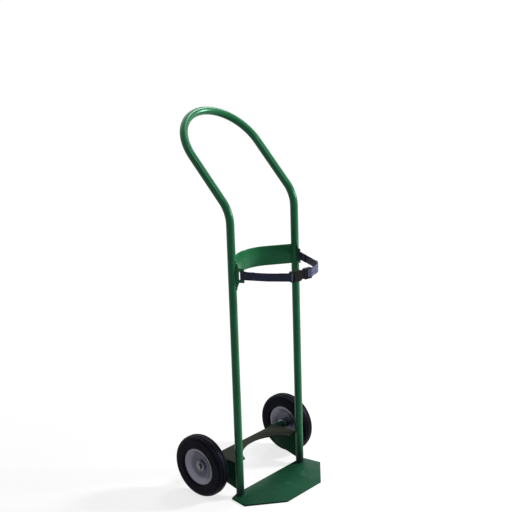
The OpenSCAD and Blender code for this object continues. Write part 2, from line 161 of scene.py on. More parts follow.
class TrolleyColours(bpy.types.PropertyGroup):
    """Colours of the finishes."""

    tube_green: colour("Tube green", "Gloss paint of the tubes, cradle and lugs", (0.013, 0.128, 0.045))
    plate_green: colour("Plate green", "Darker paint of the flat plates", (0.010, 0.084, 0.042))
    primer: colour("Primer", "Pale layer that shows where the paint is rubbed", (0.06, 0.17, 0.11))
    # Grime colour: also the painted shade laid over the saddle.
    grime_and_shade: colour("Grime", "Dust and oil on the plates", (0.0185, 0.014, 0.0112))
    foot_dark: colour("Soil", "Dark dirt at the feet of the tubes", (0.003, 0.005, 0.006))
    rubber: colour("Rubber", "Solid tyre", (0.003, 0.003, 0.0045))
    rubber_dust: colour("Rubber dust", "Dust in the tyre's surface", (0.012, 0.012, 0.019))
    # Painted shade and light on the rims: darker enamel in the dish's middle, lighter enamel on the walls
    # and lip.
    rim_shaded_middle: colour("Rim grey", "Greasy enamel in the middle of the rims", (0.1, 0.107, 0.155))
    rim_lit_walls: colour("Rim pale", "Clean enamel of the rims", (0.28, 0.271, 0.345))
    zinc: colour("Zinc", "Plated axle, washers and pins", (0.17, 0.175, 0.195))
    bronze: colour("Bronze", "Sintered bushes", (0.40, 0.24, 0.09))
    navy: colour("Navy", "Webbing", (0.003, 0.0035, 0.008))
    # Navy for the weave's crests: painted light, lighter than the valleys.
    navy_lit_crests: colour("Navy light", "Crests of the webbing's threads", (0.014, 0.016, 0.040))
    thread: colour("Thread", "Sewing thread", (0.022, 0.024, 0.045))
    plastic: colour("Plastic", "Moulded buckle", (0.004, 0.004, 0.005))
    floor: colour("Floor", "Studio floor", (0.3, 0.3, 0.3))


class TrolleySizes(bpy.types.PropertyGroup):
    """Sizes of what is modelled on the solids."""

    plate_round: length("Plate edge", "Rounding of the cut plates' edges", 0.9 * MM)
    plastic_round: length("Plastic edge", "Rounding of the buckle's edges", 1.4 * MM)
    weld_r: length("Weld bead", "Radius of a fillet weld's bead", 2.4 * MM)
    seam_r: length("Seam bead", "Radius of the dressed seam between handle and upright", 1.4 * MM)
    weld_pitch: length("Weld pitch", "Distance between the ripples of a weld", 2.2 * MM)
    lip_h: length("Rim lip", "Height of the rim's lip above the tyre's seat", 4 * MM)
    rim_sheet: length("Rim sheet", "Thickness of the pressed rim", 2 * MM)
    rim_w: length("Rim width", "Width between the rim's lips", 30 * MM)
    dish_hub: length("Dish at hub", "Distance of the dish from the wheel's middle, at the hub", 1 * MM)
    dish_edge: length("Dish edge", "Depth of the dish's outer edge under the lip", 1 * MM)
    dish_flat_r: length("Dish flat", "Radius of the dish's flat middle", 37 * MM)
    crown_r: length("Crown", "Radius of the tyre's crown in section", 48 * MM)
    shoulder_r: length("Shoulder", "Radius of the tyre's shoulders", 12 * MM)
    bead_r: length("Bead", "Radius of the tyre's inner edges", 6 * MM)
    groove_w: length("Groove width", "Width of the tread's grooves", 2.6 * MM)
    groove_depth: length("Groove depth", "Depth of the tread's grooves", 2.5 * MM)
    groove_spacing: length("Groove spacing", "Distance between the tread's two grooves", 15 * MM)
    webbing_t: length("Webbing", "Thickness of the webbing's solid", 2 * MM)
    sewn_len: length("Sewn length", "Length of the stitched box at a sewn end", 24 * MM)
    stitch_len: length("Stitch", "Length of one stitch", 2.4 * MM)
    stitch_r: length("Thread", "Radius of the sewing thread", 0.4 * MM)
    panel_margin: length("Panel margin", "Frame left round the panel on the buckle's front", 2.5 * MM)
    panel_depth: length("Panel depth", "Depth of that panel", 0.6 * MM)
    rib_pitch: length("Grip pitch", "Distance between the grip ribs of a latch arm", 1.6 * MM)
    rib_h: length("Grip ribs", "Height of those ribs", 0.45 * MM)


class TrolleyStage(bpy.types.PropertyGroup):
    """Camera, floor and lamps."""

    eye: bpy.props.FloatVectorProperty(
        name="Eye",
        description="Place of the camera",
        default=(-2.535, -2.218, 1.743),
        subtype="TRANSLATION",
    )
    heading: angle("Heading", "Turn of the view from +Y towards +X", 47.85)
    pitch: angle("Pitch", "Tilt of the view below the horizon", 16.08)
    roll: angle("Roll", "Turn of the camera about its own axis", -1.84)
    focal_px: number("Focal length", "In pixels of the frame", 1142)
    frame_px: number("Frame", "Width of the frame in pixels", 512)
    floor_r: length("Floor", "Radius of the floor", 60)
    key: power("Key lamp", "Lamp high at the right", 26)
    front: power("Front lamp", "Lamp at the front right, at the handle's height", 105)
    top: power("Top lamp", "Lamp overhead, a little to the front", 14)
    back: power("Back lamp", "Wide lamp high behind the trolley", 14)
    sky: number("Sky", "Strength of the even light all round", 0.06)


def settings(context):
    """The three groups of settings."""
    scene = context.scene
    return scene.trolley_colours, scene.trolley_sizes, scene.trolley_stage


# Modelling helpers
def deselect_all():
    """Object mode with nothing selected."""
    if bpy.context.object and bpy.context.object.mode != "OBJECT":
        bpy.ops.object.mode_set(mode="OBJECT")
    bpy.ops.object.select_all(action="DESELECT")


def activate(piece):
    """Object mode with one piece selected."""
    deselect_all()
    piece.select_set(True)
    bpy.context.view_layer.objects.active = piece


def new_piece(name):
    """The object that was just added, under its own name."""
    piece = bpy.context.object
    piece.name = name
    return piece


def open_mesh(piece):
    """Edit mode on one piece, with all of it selected."""
    activate(piece)
    bpy.ops.object.mode_set(mode="EDIT")
    bpy.ops.mesh.select_mode(type="VERT")
    bpy.ops.mesh.select_all(action="SELECT")


def close_mesh(piece, smooth_angle=SHARP_ANGLE):
    """Object mode again, with the piece shaded smooth up to an angle in degrees."""
    activate(piece)
    bpy.ops.object.shade_smooth_by_angle(angle=math.radians(smooth_angle))
    deselect_all()


def dress(piece, material, body, slot, *nodes):
    """One material on a piece that rides on a body and may stand for solids."""
    piece.data.materials.clear()
    piece.data.materials.append(material)
    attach(piece, body)
    if nodes:
        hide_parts(*nodes)


def paint_nodes(material, *nodes):
    """Material on solids that stay as they are."""
    for name in nodes:
        mesh = frame["nodes"][name].data
        mesh.materials.clear()
        mesh.materials.append(material)


def softened_copy(node, name, width):
    """Copy of a solid with its sharp edges rounded off."""
    activate(frame["nodes"][node])
    bpy.ops.object.duplicate()
    piece = new_piece(name)
    piece.parent = None
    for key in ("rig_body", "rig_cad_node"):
        del piece[key]
    open_mesh(piece)
    bpy.ops.mesh.customdata_custom_splitnormals_clear()
    bpy.ops.mesh.remove_doubles(threshold=SOLID_MERGE)
    bpy.ops.mesh.dissolve_limited(angle_limit=FLAT_ANGLE, use_dissolve_boundaries=False)
    bpy.ops.mesh.select_mode(type="EDGE")
    bpy.ops.mesh.select_all(action="DESELECT")
    bpy.ops.mesh.edges_select_sharp(sharpness=math.radians(SHARP_ANGLE))
    bpy.ops.mesh.bevel(offset=width, segments=EDGE_STEPS, profile=0.5, clamp_overlap=True)
    close_mesh(piece)
    return piece


def rounded_outline(corners, steps=5):
    """Closed outline through corners given as (u, v, radius), with an arc of that radius at each."""
    points = []
    count = len(corners)
    for i, (u, v, radius) in enumerate(corners):
        here = Vector((u, v))
        if radius == 0:
            points.append(here)
            continue
        back = (Vector(corners[i - 1][:2]) - here).normalized()
        ahead = (Vector(corners[(i + 1) % count][:2]) - here).normalized()
        half = back.angle(ahead) / 2
        centre = here + (back + ahead).normalized() * radius / math.sin(half)
        first = here + back * radius / math.tan(half) - centre
        last = here + ahead * radius / math.tan(half) - centre
        start = math.atan2(first.y, first.x)
        turn = (math.atan2(last.y, last.x) - start + math.pi) % (2 * math.pi) - math.pi
        for k in range(steps + 1):
            a = start + turn * k / steps
            points.append(centre + radius * Vector((math.cos(a), math.sin(a))))
    return points


def arc(centre, radius, start, end, steps):
    """Points on an arc, with its angles in degrees."""
    turns = [math.radians(start + (end - start) * k / steps) for k in range(steps + 1)]
    return [Vector(centre) + radius * Vector((math.cos(a), math.sin(a))) for a in turns]


def turned_ring(name, outline, centre, steps=144):
    """Ring turned about the axle's direction from a closed section of (radius, distance along X)."""
    deselect_all()
    bpy.ops.mesh.primitive_circle_add(vertices=len(outline), radius=1, fill_type="NOTHING")
    piece = new_piece(name)
    for vertex, (radius, along) in zip(piece.data.vertices, outline):
        vertex.co = (along, 0, radius)
    open_mesh(piece)
    bpy.ops.mesh.spin(steps=steps, angle=2 * math.pi, center=(0, 0, 0), axis=(1, 0, 0))
    bpy.ops.mesh.select_all(action="SELECT")
    bpy.ops.mesh.remove_doubles(threshold=RING_MERGE)
    bpy.ops.mesh.normals_make_consistent(inside=False)
    bpy.ops.object.mode_set(mode="OBJECT")
    piece.data.transform(Matrix.Translation(centre))
    close_mesh(piece)
    return piece


def small_ball(half_sizes, segments=10, rings=6):
    """Round seed for stitches, ribs and weld ripples, stretched to three half sizes."""
    deselect_all()
    bpy.ops.mesh.primitive_uv_sphere_add(segments=segments, ring_count=rings, radius=1)
    seed = bpy.context.object
    open_mesh(seed)
    bpy.ops.transform.resize(value=half_sizes)
    close_mesh(seed, 180)
    return seed


def placed_copies(name, seed, places):
    """One piece made of copies of a seed, each with its own mesh at its own place."""
    deselect_all()
    for place in places:
        copy = bpy.data.objects.new(name, seed.data.copy())
        copy.data.transform(place)
        bpy.context.scene.collection.objects.link(copy)
        copy.select_set(True)
        bpy.context.view_layer.objects.active = copy
    bpy.ops.object.join()
    bpy.data.objects.remove(seed)
    piece = new_piece(name)
    deselect_all()
    return piece


def facing(point, ahead, out):
    """Place whose X runs ahead and whose Z points out."""
    ahead = ahead.normalized()
    across = out.cross(ahead).normalized()
    turn = Matrix((ahead, across, ahead.cross(across))).transposed()
    return Matrix.Translation(point) @ turn.to_4x4()


# Shader helpers
class Nodes:
    """Shader nodes of one tree, added and linked by short calls."""

    def __init__(self, tree, output=None):
        self.tree = tree
        if output:
            tree.nodes.clear()
            self.surface = self.add(output).inputs["Surface"]

    def add(self, kind, inputs=None, **options):
        """New node with some of its options set, and some of its inputs set or linked."""
        made = self.tree.nodes.new(kind)
        for option, value in options.items():
            setattr(made, option, value)
        for key, value in (inputs or {}).items():
            self.feed(made.inputs[key], value)
        return made

    def feed(self, socket, value):
        """Links a socket to another node's output, or sets a plain value on it."""
        if isinstance(value, bpy.types.NodeSocket):
            self.tree.links.new(value, socket)
        else:
            socket.default_value = value

    def mix(self, factor, first, second):
        """Colour between two colours, either of which may be a socket."""
        made = self.add("ShaderNodeMix", {"Factor": factor}, data_type="RGBA")
        ends = [socket for socket in made.inputs if socket.type == "RGBA"]
        for socket, value in zip(ends, (first, second)):
            linked = isinstance(value, bpy.types.NodeSocket)
            self.feed(socket, value if linked else (*value, 1))
        return next(socket for socket in made.outputs if socket.type == "RGBA")

    def math(self, operation, first, second=0):
        """Sum of two values, or what another operation makes of them."""
        return self.add("ShaderNodeMath", {0: first, 1: second}, operation=operation).outputs["Value"]

    def spread(self, value, low, high, start=0, end=1):
        """Value from start to end, laid out between low and high."""
        limits = {"Value": value, "From Min": start, "From Max": end, "To Min": low, "To Max": high}
        return self.add("ShaderNodeMapRange", limits).outputs["Result"]

    def noise(self, vector, scale, detail, roughness):
        """Noise value."""
        inputs = {"Vector": vector, "Scale": scale, "Detail": detail, "Roughness": roughness}
        return self.add("ShaderNodeTexNoise", inputs).outputs["Fac"]

    def clip(self, value):
        """Value kept between 0 and 1."""
        return self.add("ShaderNodeClamp", {"Value": value}).outputs["Result"]

    def size(self, vector):
        """Length of a vector."""
        return self.add("ShaderNodeVectorMath", {0: vector}, operation="LENGTH").outputs["Value"]

    def parts(self, vector):
        """X, Y and Z of a vector."""
        return self.add("ShaderNodeSeparateXYZ", {"Vector": vector}).outputs

    def seen_rays(self):
        """1 for rays that the camera, a mirror or a glass sees, else 0."""
        path = self.add("ShaderNodeLightPath").outputs
        seen = self.math("MAXIMUM", path["Is Camera Ray"], path["Is Glossy Ray"])
        return self.math("MAXIMUM", seen, path["Is Transmission Ray"])


def lay_skin(net, given, result):
    """Fine unevenness of a finished surface, and its broad change of tone."""
    fine = net.noise(given["Vector"], given["Grain Scale"], 3, 0.55)
    broad = net.noise(given["Vector"], given["Tone Scale"], 4, 0.6)
    net.feed(result["Height"], fine)
    net.feed(result["Tone"], net.spread(broad, -0.4, 1.4))


def lay_scuffs(net, given, result):
    """Rubbed patches broken up by fine scratches."""
    patch = net.noise(given["Vector"], given["Patch Scale"], 5, 0.65)
    stretched = {"Vector": given["Vector"], "Scale": (1, 0.12, 0.35)}
    lengthwise = net.add("ShaderNodeMapping", stretched).outputs["Vector"]
    scratch = net.noise(lengthwise, given["Scratch Scale"], 4, 0.7)
    rubbed = net.math("MULTIPLY", net.math("SUBTRACT", patch, given["Threshold"]), 12)
    broken = net.math("MULTIPLY", net.math("SUBTRACT", scratch, 0.42), 7)
    clipped = net.clip(net.math("MULTIPLY", rubbed, broken))
    positive = net.math("GREATER_THAN", rubbed, 0)
    net.feed(result["Mask"], net.math("MULTIPLY", clipped, positive))


def lay_dust(net, given, result):
    """Dust that thins out with the height above the floor."""
    height = net.parts(given["Vector"])["Z"]
    fade = net.math("SUBTRACT", 1, net.math("DIVIDE", height, given["Top"]))
    cloud = net.noise(given["Vector"], 38, 6, 0.7)
    net.feed(result["Mask"], net.clip(net.math("MULTIPLY", fade, cloud)))


def lay_weave(net, given, result):
    """Ribbed webbing, with its ribs along the length and its picks across them."""
    parts = net.parts(given["Vector"])
    ribs = net.math("DIVIDE", parts["Y"], given["Rib"])
    picks = net.math("DIVIDE", parts["X"], given["Pick"])
    slanted = net.math("ADD", picks, net.math("PINGPONG", ribs, 1))
    rib_wave = net.math("SINE", net.math("MULTIPLY", ribs, 2 * math.pi))
    pick_wave = net.math("SINE", net.math("MULTIPLY", slanted, 2 * math.pi))
    pick_part = 0.7
    both = net.math("ADD", rib_wave, net.math("MULTIPLY", pick_wave, pick_part))
    level = net.spread(both, 0, 1, -1 - pick_part, 1 + pick_part)
    net.feed(result["Height"], level)
    net.feed(result["Crest"], net.math("POWER", level, 3))


# Shared effects: how each is laid out, its settings with their usual values, and what it gives
EFFECTS = {
    "Surface skin": (lay_skin, {"Grain Scale": 350, "Tone Scale": 9}, ("Height", "Tone")),
    "Scuffs": (lay_scuffs, {"Patch Scale": 16, "Scratch Scale": 220, "Threshold": 0.6}, ("Mask",)),
    "Floor dust": (lay_dust, {"Top": 0.12}, ("Mask",)),
    "Webbing weave": (lay_weave, {"Rib": 2.1 * MM, "Pick": 1.6 * MM}, ("Height", "Crest")),
}


def shared_effect(name):
    """Shader group of an effect, built at its first use."""
    if name not in bpy.data.node_groups:
        lay_out, values, results = EFFECTS[name]
        group = bpy.data.node_groups.new(name, "ShaderNodeTree")
        add_socket = group.interface.new_socket
        add_socket(name="Vector", in_out="INPUT", socket_type="NodeSocketVector")
        for label, value in values.items():
            socket = add_socket(name=label, in_out="INPUT", socket_type="NodeSocketFloat")
            socket.default_value = value
        for label in results:
            add_socket(name=label, in_out="OUTPUT", socket_type="NodeSocketFloat")
        net = Nodes(group)
        lay_out(net, net.add("NodeGroupInput").outputs, net.add("NodeGroupOutput").inputs)
    return bpy.data.node_groups[name]


def spaced(values):
    """Values under the names of sockets, which have spaces."""
    return {name.replace("_", " "): value for name, value in values.items()}


def scaled(base, part):
    """Colour made darker or lighter."""
    return tuple(part * channel for channel in base)


class Finish(Nodes):
    """Material of one finish, with its shader and its coordinates."""

    def __init__(self, name, grain, tone, coordinates="Object", **constants):
        self.material = bpy.data.materials.new(name)
        self.material.use_nodes = True
        super().__init__(self.material.node_tree, "ShaderNodeOutputMaterial")
        self.shader = self.add("ShaderNodeBsdfPrincipled", spaced(constants))
        self.feed(self.surface, self.shader.outputs["BSDF"])
        self.place = self.add("ShaderNodeTexCoord").outputs[coordinates]
        skin = self.effect("Surface skin", Grain_Scale=grain, Tone_Scale=tone)
        self.grain = skin["Height"]
        self.tone = skin["Tone"]

    def effect(self, name, **values):
        """A shared effect placed in the material with its own values."""
        inputs = {"Vector": self.place, **spaced(values)}
        return self.add("ShaderNodeGroup", inputs, node_tree=shared_effect(name)).outputs

    def tones(self, mask, base, deep, light=1):
        """Colour that changes between two parts of a base colour."""
        return self.mix(mask, scaled(base, deep), scaled(base, light))

    def finished(self, base, rough, depth, strength, height=None):
        """The material, with its colour, its roughness and a bump whose depth is in metres."""
        field = {"Height": height or self.grain, "Distance": depth, "Strength": strength}
        bump = self.add("ShaderNodeBump", field).outputs["Normal"]
        for socket, value in (("Base Color", base), ("Roughness", rough), ("Normal", bump)):
            self.feed(self.shader.inputs[socket], value)
        return self.material


# Finishes
def gloss_paint(name, colours, base, dirt_colour, gloss, threshold, dust_top, near_floor_strength=0.5, grime_and_shade=0):
    """Brushed-on gloss paint: soft orange peel, rubbed patches, and a darker colour towards the floor."""
    paint = Finish(name, grain=240, tone=7, Specular_IOR_Level=gloss, Specular_Tint=PAINT_TINT)
    scuffs = paint.effect("Scuffs", Threshold=threshold)["Mask"]
    dust = paint.effect("Floor dust", Top=dust_top)["Mask"]
    toned = paint.tones(paint.tone, base, 0.78, 1.2)
    rubbed = paint.mix(paint.math("MULTIPLY", scuffs, 0.55), toned, colours.primer)
    # Darker towards the floor: dust on the plates, near-black at the tubes' feet.
    low_dark = paint.math("MULTIPLY", dust, near_floor_strength)
    # A grime amount covers the whole paint in the darker colour; on the saddle this cover is partly real
    # grime and partly painted shade.
    darkening = paint.math("MINIMUM", paint.math("ADD", low_dark, grime_and_shade), 1)
    dull = paint.spread(paint.math("MAXIMUM", scuffs, darkening), 0.26, 0.6)
    return paint.finished(paint.mix(darkening, rubbed, dirt_colour), dull, depth=0.1 * MM, strength=0.06)


def tyre_rubber(colours):
    """Solid rubber with a fine moulded grain and dust in it."""
    rubber = Finish("tyre rubber", grain=900, tone=22, Specular_IOR_Level=0.06, Specular_Tint=RUBBER_TINT)
    dust = rubber.effect("Scuffs", Patch_Scale=26, Threshold=0.5)["Mask"]
    shade = rubber.math("MULTIPLY", rubber.math("ADD", rubber.tone, dust), 0.35)
    dusty = rubber.mix(shade, colours.rubber, colours.rubber_dust)
    return rubber.finished(dusty, rubber.spread(rubber.tone, 0.42, 0.58), depth=0.12 * MM, strength=0.6)


def rim_enamel(colours, sizes):
    """Thin grey enamel on pressed steel, painted darker in the dish's flat middle as painted shade and
    lighter on the walls and lip as painted light, with chips.
    """
    enamel = Finish("rim enamel", grain=420, tone=30, Metallic=0.35, Specular_IOR_Level=0.4)
    chips = enamel.effect("Scuffs", Patch_Scale=60, Scratch_Scale=400, Threshold=0.64)["Mask"]
    from_axle = {0: enamel.place, 1: (0, 1, 1), 2: (0, -AXLE_Y, -AXLE_Z)}
    across = enamel.add("ShaderNodeVectorMath", from_axle, operation="MULTIPLY_ADD").outputs["Vector"]
    # Painted light and shade: the flat middle of the dish is painted darker and the walls and lip
    # lighter.
    shade_end = sizes.dish_flat_r + 8 * MM
    lit_wall_mask = enamel.spread(enamel.size(across), 0, 1, sizes.dish_flat_r, shade_end)
    shaded_tones = enamel.tones(enamel.tone, colours.rim_shaded_middle, 0.8, 1.15)
    chipped = enamel.mix(chips, enamel.mix(lit_wall_mask, shaded_tones, colours.rim_lit_walls), colours.grime_and_shade)
    return enamel.finished(chipped, enamel.spread(chips, 0.33, 0.65), depth=0.15 * MM, strength=0.4)


def bare_metal(name, base, rough):
    """Plated or sintered metal with a clouded sheen."""
    metal = Finish(name, grain=1400, tone=60, Metallic=1)
    scuffs = metal.effect("Scuffs", Patch_Scale=70, Scratch_Scale=900, Threshold=0.5)["Mask"]
    rubbed = metal.mix(scuffs, metal.tones(metal.tone, base, 0.7), scaled(base, 0.55))
    clouded = metal.spread(metal.tone, rough, rough + 0.18)
    return metal.finished(rubbed, clouded, depth=0.05 * MM, strength=0.4)


def webbing_cloth(name, colours, sheen):
    """Ribbed navy webbing with a soft sheen; its thread crests are painted lighter than the valleys as
    painted light and shade, and the copy with little sheen is the shaded webbing laid on the inside faces
    as painted shade.
    """
    cloth = Finish(
        name,
        grain=2600,
        tone=35,
        coordinates="UV",
        Specular_IOR_Level=0.2 + 0.1 * sheen,
        Specular_Tint=WEBBING_TINT,
        Sheen_Weight=sheen,
        Sheen_Tint=SHEEN_TINT,
    )
    weave = cloth.effect("Webbing weave")
    # Painted light and shade: the weave's crests are painted lighter navy, its valleys darker.
    shade = cloth.math("MULTIPLY", weave["Crest"], cloth.spread(cloth.tone, 0.5, 1))
    blue = cloth.mix(shade, colours.navy, colours.navy_lit_crests)
    rough = cloth.spread(weave["Crest"], 0.5, 0.34)
    fuzzy = cloth.math("ADD", weave["Height"], cloth.math("MULTIPLY", cloth.grain, 0.25))
    return cloth.finished(blue, rough, depth=0.5 * MM, strength=0.8, height=fuzzy)


def sewing_thread(colours):
    """Twisted thread, slightly paler than the webbing."""
    thread = Finish("sewing thread", grain=3200, tone=300, Specular_IOR_Level=0.25, Sheen_Weight=0.1)
    toned = thread.tones(thread.tone, colours.thread, 0.6)
    return thread.finished(toned, thread.spread(thread.tone, 0.5, 0.7), depth=0.1 * MM, strength=0.7)


def moulded_plastic(colours):
    """Gloss black plastic with faint mould marks and rubbed spots."""
    plastic = Finish("moulded plastic", grain=1500, tone=45, Specular_IOR_Level=0.13)
    scuffs = plastic.effect("Scuffs", Patch_Scale=90, Scratch_Scale=1200, Threshold=0.55)["Mask"]
    toned = plastic.tones(scuffs, colours.plastic, 1, 3)
    clouded = plastic.spread(plastic.tone, 0.1, 0.2)
    rough = plastic.math("ADD", clouded, plastic.spread(scuffs, 0, 0.2))
    return plastic.finished(toned, rough, depth=0.06 * MM, strength=0.4)


def studio_floor(colours):
    """Pale floor that keeps shadows and shows white to the camera."""
    material = bpy.data.materials.new("studio floor")
    material.use_nodes = True
    net = Nodes(material.node_tree, "ShaderNodeOutputMaterial")
    place = net.add("ShaderNodeTexCoord").outputs["Object"]
    fade = net.spread(net.size(place), FLOOR_GLOW, 1, FLOOR_NEAR, FLOOR_FAR)
    shown = net.math("MULTIPLY", net.seen_rays(), fade)
    matt = net.add("ShaderNodeBsdfDiffuse", {"Color": (*colours.floor, 1)})
    glow = net.add("ShaderNodeEmission", {"Color": (1, 1, 1, 1), "Strength": shown})
    both = net.add("ShaderNodeAddShader", {0: matt.outputs["BSDF"], 1: glow.outputs["Emission"]})
    net.feed(net.surface, both.outputs["Shader"])
    return material


# Paths of the webbing
def strap_path(node, thickness):
    """Middle line of a strap's solid seen from above, from one end to the other."""
    mesh = frame["nodes"][node].data
    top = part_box(node)[1].z
    edges = set()
    for face in mesh.polygons:
        corners = [mesh.vertices[i].co for i in face.vertices]
        if min(corner.z for corner in corners) < top - 0.1 * MM:
            continue
        keys = [(round(c.x, 6), round(c.y, 6)) for c in corners]
        for a, b in zip(keys, keys[1:] + keys[:1]):
            if (b, a) in edges:
                edges.remove((b, a))
            else:
                edges.add((a, b))
    following = dict(edges)
    loop = [min(following)]
    while following[loop[-1]] != loop[0]:
        loop.append(following[loop[-1]])
    points = [Vector(key) for key in loop]
    count = len(points)
    steps = [b - a for a, b in zip(points, points[1:] + points[:1])]
    around = zip(steps[-1:] + steps[:-1], steps, steps[1:] + steps[:1])
    ends = [i for i, trio in enumerate(around) if is_cut_end(*trio, thickness)]
    if len(ends) != 2 or (ends[1] - ends[0]) * 2 != count:
        raise RuntimeError(f"{node}: no two strap ends in its outline, {ends} of {count}")
    one_side = points[ends[0] + 1:ends[1] + 1]
    other_side = (points[ends[1] + 1:] + points[:ends[0] + 1])[::-1]
    return [(a + b) / 2 for a, b in zip(one_side, other_side)]


def is_cut_end(before, step, after, thickness):
    """Whether a step of an outline is as long as the strap is thick, and square to its neighbours."""
    square = all(abs(step.normalized().dot(other.normalized())) < 0.2 for other in (before, after))
    return square and abs(step.length - thickness) < 0.02 * MM


class Route:
    """A path in the plan, measured along its length."""

    STEP = 0.2 * MM

    def __init__(self, points):
        self.points = points
        self.at = [0]
        for a, b in zip(points, points[1:]):
            self.at.append(self.at[-1] + (b - a).length)
        self.length = self.at[-1]

    def point(self, distance):
        """Point at a distance along the path, rounded through its corners."""
        distance = min(max(distance, 0), self.length)
        i = max(k for k in range(len(self.at) - 1) if self.at[k] <= distance)
        p1, p2 = self.points[i], self.points[i + 1]
        gap = self.at[i + 1] - self.at[i]
        t = (distance - self.at[i]) / gap
        slope_1 = self.slope(i) * gap
        slope_2 = self.slope(i + 1) * gap
        square = t * t
        cube = square * t
        return (
            (2 * cube - 3 * square + 1) * p1 + (cube - 2 * square + t) * slope_1
            + (3 * square - 2 * cube) * p2 + (cube - square) * slope_2
        )

    def slope(self, i):
        """Direction of the path at one of its points."""
        before = self.points[max(i - 1, 0)]
        after = self.points[min(i + 1, len(self.points) - 1)]
        return (after - before).normalized()

    def drift(self, distance):
        """Short step of the path about a distance along it."""
        return self.point(distance + self.STEP) - self.point(distance - self.STEP)

    def left(self, distance):
        """Direction to the left of the path."""
        ahead = self.drift(distance)
        return Vector((-ahead.y, ahead.x)).normalized()


def apply_modifier(piece, kind, **options):
    """Adds a modifier with some of its options set, and applies it."""
    activate(piece)
    modifier = piece.modifiers.new(kind.lower(), kind)
    for option, value in options.items():
        setattr(modifier, option, value)
    bpy.ops.object.modifier_apply(modifier=modifier.name)


def webbing_strip(name, route, low, high, thickness):
    """Strip of webbing laid along a route, with ribs in its face and its cut size as its UV map."""
    along = math.ceil(route.length / (0.9 * MM))
    across = 24
    rib = 0.09 * MM
    width = high - low
    deselect_all()
    bpy.ops.mesh.primitive_grid_add(x_subdivisions=along, y_subdivisions=across, size=1)
    piece = new_piece(name)
    for vertex in piece.data.vertices:
        u = vertex.co.x + 0.5
        v = vertex.co.y + 0.5
        distance = u * route.length
        lift = rib if round(v * across) % 2 else -rib
        spot = route.point(distance) + lift * route.left(distance)
        vertex.co = (spot.x, spot.y, low + v * width)
    for loop in piece.data.uv_layers.active.data:
        loop.uv = (loop.uv[0] * route.length, loop.uv[1] * width)
    apply_modifier(piece, "SOLIDIFY", thickness=thickness - 2 * rib, offset=0)
    square_edges = {"limit_method": "ANGLE", "angle_limit": math.radians(60)}
    apply_modifier(piece, "BEVEL", width=0.35 * MM, segments=2, **square_edges)
    close_mesh(piece, 50)
    return piece


# Weld paths
def ring_path(centre, radius, axis, pitch):
    """Points and directions on a ring about X or Z."""
    count = round(2 * math.pi * radius / pitch)
    path = []
    for k in range(count):
        a = 2 * math.pi * k / count
        c, s = math.cos(a), math.sin(a)
        out, ahead = ((c, s, 0), (-s, c, 0)) if axis == "Z" else ((0, c, s), (0, -s, c))
        path.append((Vector(centre) + radius * Vector(out), Vector(ahead)))
    return path


def line_path(first, last, pitch):
    """Points and directions on a straight weld."""
    first, last = Vector(first), Vector(last)
    count = max(2, round((last - first).length / pitch))
    ahead = (last - first).normalized()
    return [(first + (last - first) * (k + 0.5) / count, ahead) for k in range(count)]


def root_lines(node, side, pitch):
    """Upright welds where a plate's two faces meet an upright, a little short of the plate's edges."""
    near = 2 * MM
    shortest = 10 * MM
    axis = Vector((side * UPRIGHT_X, UPRIGHT_Y))
    corners = [vertex.co for vertex in frame["nodes"][node].data.vertices]
    found = {}
    for corner in corners:
        if (corner.xy - axis).length < TUBE_R + near:
            key = (round(corner.x / MM, 1), round(corner.y / MM, 1))
            low, high = found.get(key, (corner.z, corner.z))
            found[key] = (min(low, corner.z), max(high, corner.z))
    lines = []
    for (x, y), (low, high) in found.items():
        if high - low > shortest:
            lines += line_path((x * MM, y * MM, low + near), (x * MM, y * MM, high - near), pitch)
    return lines


def weld(name, path, radius, pitch, material):
    """Rippled bead along a path, painted over with what it joins."""
    seed = small_ball((1.25 * pitch, radius, radius))
    places = []
    for point, ahead in path:
        out = Vector((0, 1, 0.2)) if abs(ahead.z) > 0.5 else UP
        places.append(facing(point, ahead, out))
    dress(placed_copies(name, seed, places), material, "frame", "frame_paint")


class TROLLEY_OT_stage(bpy.types.Operator):
    """Sets the camera, the floor and the lamps"""

    bl_idname = "trolley.stage"
    bl_label = "Stage"

    def execute(self, context):
        colours, _, stage = settings(context)
        self.camera(stage)
        deselect_all()
        bpy.ops.mesh.primitive_circle_add(vertices=FLOOR_SIDES, radius=stage.floor_r, fill_type="NGON")
        floor = new_piece("studio_floor")
        floor.data.materials.append(studio_floor(colours))
        for name, (place, size) in LAMPS.items():
            self.lamp(f"{name}_lamp", Vector(place), getattr(stage, name), size)
        self.sky(context, stage)
        context.scene.view_settings.view_transform = "Standard"
        return {"FINISHED"}

    def camera(self, stage):
        """Camera at the photograph's place and angle."""
        deselect_all()
        bpy.ops.object.camera_add(location=stage.eye)
        camera = bpy.context.object
        turn = Matrix.Rotation(-stage.heading, 3, "Z")
        tilt = Matrix.Rotation(math.pi / 2 - stage.pitch, 3, "X")
        roll = Matrix.Rotation(stage.roll, 3, "Z")
        camera.rotation_euler = (turn @ tilt @ roll).to_euler()
        camera.data.sensor_width = SENSOR_MM
        camera.data.lens = stage.focal_px * SENSOR_MM / stage.frame_px
        bpy.context.scene.camera = camera

    def lamp(self, name, place, watts, size):
        """Square lamp that points at the trolley."""
        deselect_all()
        bpy.ops.object.light_add(type="AREA", location=place)
        lamp = new_piece(name)
        lamp.data.energy = watts
        lamp.data.size = size
        lamp.rotation_euler = (LAMP_AIM - place).to_track_quat("-Z", "Y").to_euler()

    def sky(self, context, stage):
        """Even light all round, white where it is seen."""
        world = bpy.data.worlds.new("studio light")
        context.scene.world = world
        world.use_nodes = True
        net = Nodes(world.node_tree, "ShaderNodeOutputWorld")
        strength = net.spread(net.seen_rays(), stage.sky, 1)
        light = net.add("ShaderNodeBackground", {"Color": (1, 1, 1, 1), "Strength": strength})
        net.feed(net.surface, light.outputs["Background"])


